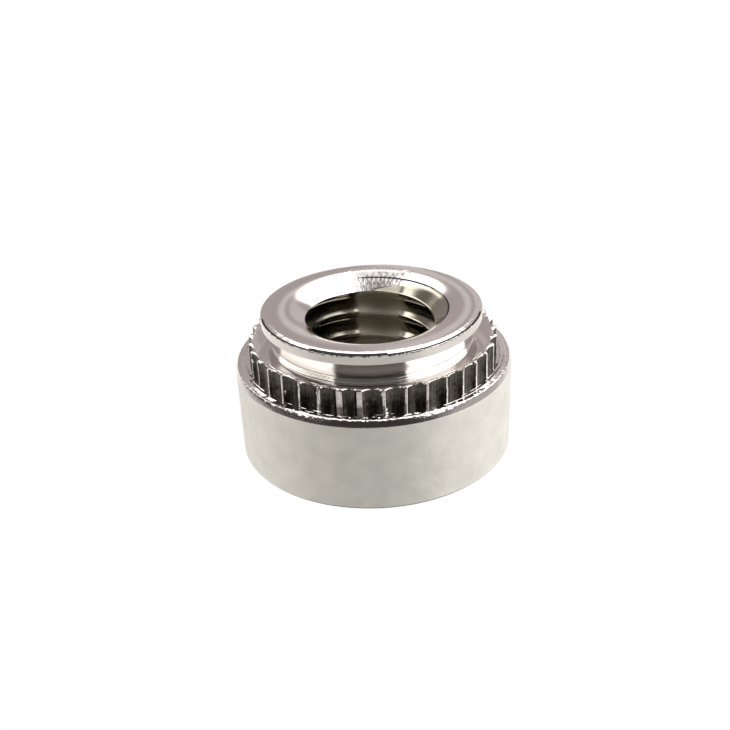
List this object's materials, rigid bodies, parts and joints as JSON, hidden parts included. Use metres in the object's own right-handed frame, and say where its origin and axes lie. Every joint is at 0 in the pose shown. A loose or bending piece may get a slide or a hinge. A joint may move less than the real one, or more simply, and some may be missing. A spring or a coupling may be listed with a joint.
{
  "type": "self-clinching nut",
  "caption": "Round self-clinching nut: a plain disc head, a fluted clinching ring, and an undercut shank round a threaded hole, pressed into sheet metal from its back.",
  "frame": {"origin": "middle of the head's flat bottom face, which the part stands on", "axes": "+Z along the threaded hole, from the head towards the open end of the shank"},
  "size_m": [0.011, 0.011, 0.0058],
  "materials": {
    "plated_steel": "bright plating over turned steel"
  },
  "bodies": {
    "root": {"clinch_nut": "plated_steel"}
  },
  "joints": []
}
